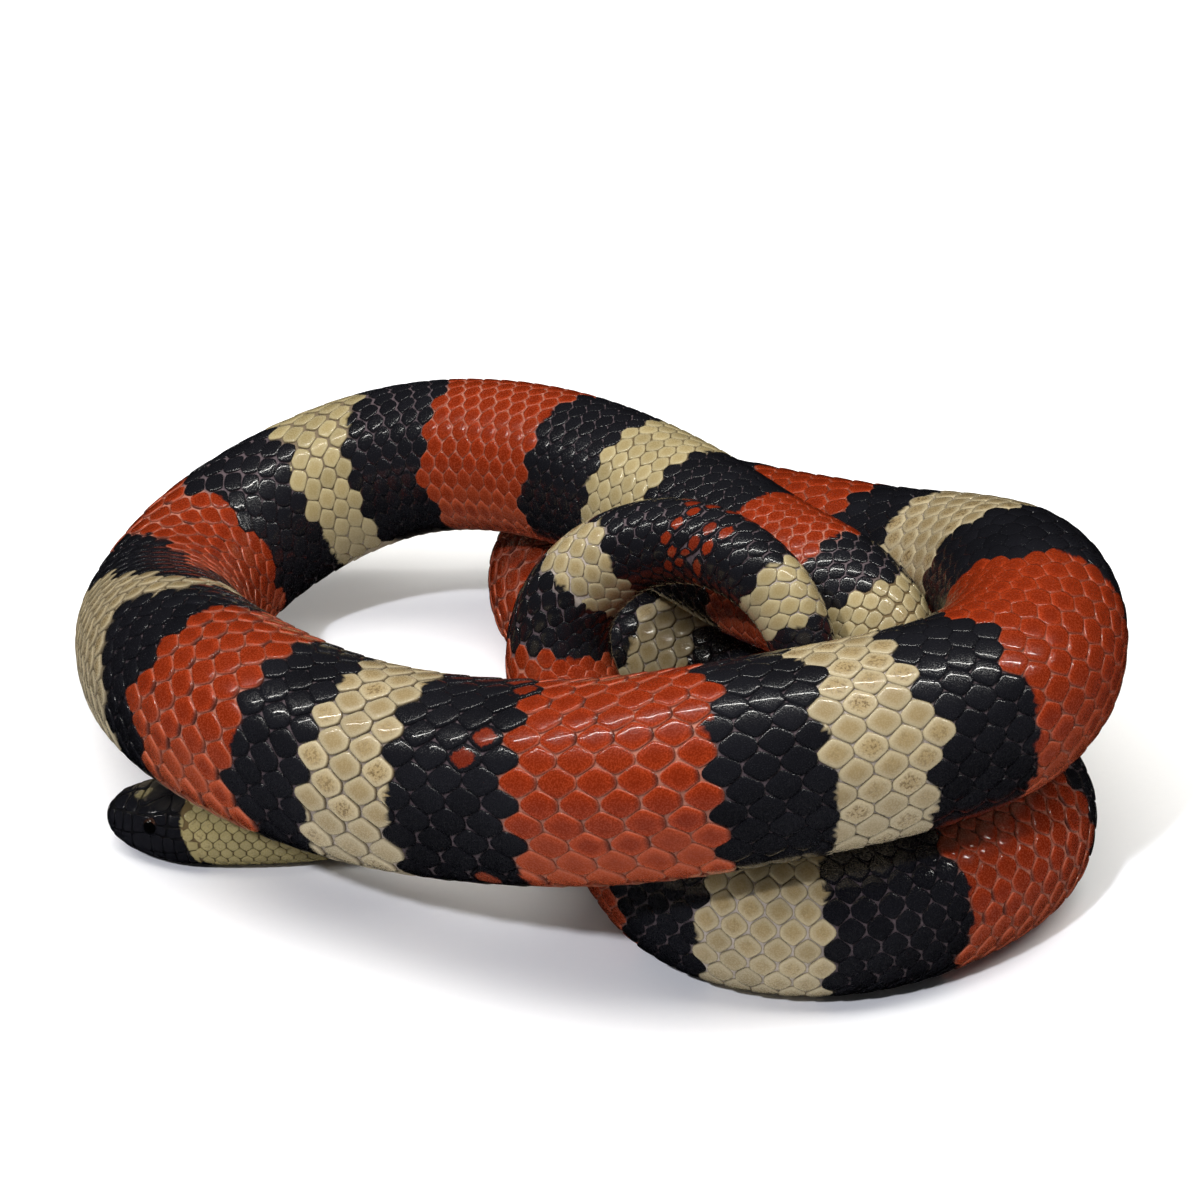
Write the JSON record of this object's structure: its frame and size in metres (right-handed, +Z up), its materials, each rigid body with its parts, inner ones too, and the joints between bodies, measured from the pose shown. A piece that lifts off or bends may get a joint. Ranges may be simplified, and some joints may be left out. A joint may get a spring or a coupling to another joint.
{
  "type": "milk snake",
  "caption": "Still, life-size milk snake lying in a loose stacked coil, ringed red, black and cream, its head resting on the floor.",
  "frame": {"origin": "middle of the whole coil's footprint, at floor level", "axes": "+Z up from the floor; +X along the coil's long side, away from the head's tip; +Y from the front strand to the back strand"},
  "size_m": [0.1334, 0.1262, 0.048],
  "materials": {
    "skin": "glossy overlapping scales in red, black and cream rings",
    "eye": "wet gloss black"
  },
  "bodies": {
    "root": {"head": "skin", "eye_left": "eye", "eye_right": "eye", "neck": "skin", "torso_01": "skin", "torso_02": "skin", "torso_03": "skin", "torso_04": "skin", "torso_05": "skin", "torso_06": "skin", "torso_07": "skin", "torso_08": "skin", "torso_09": "skin", "torso_10": "skin", "torso_11": "skin", "torso_12": "skin", "torso_13": "skin", "torso_14": "skin", "torso_15": "skin", "torso_16": "skin", "torso_17": "skin", "torso_18": "skin", "torso_19": "skin", "torso_20": "skin", "tail_01": "skin", "tail_02": "skin", "tail_03": "skin", "tail_04": "skin"}
  },
  "joints": []
}
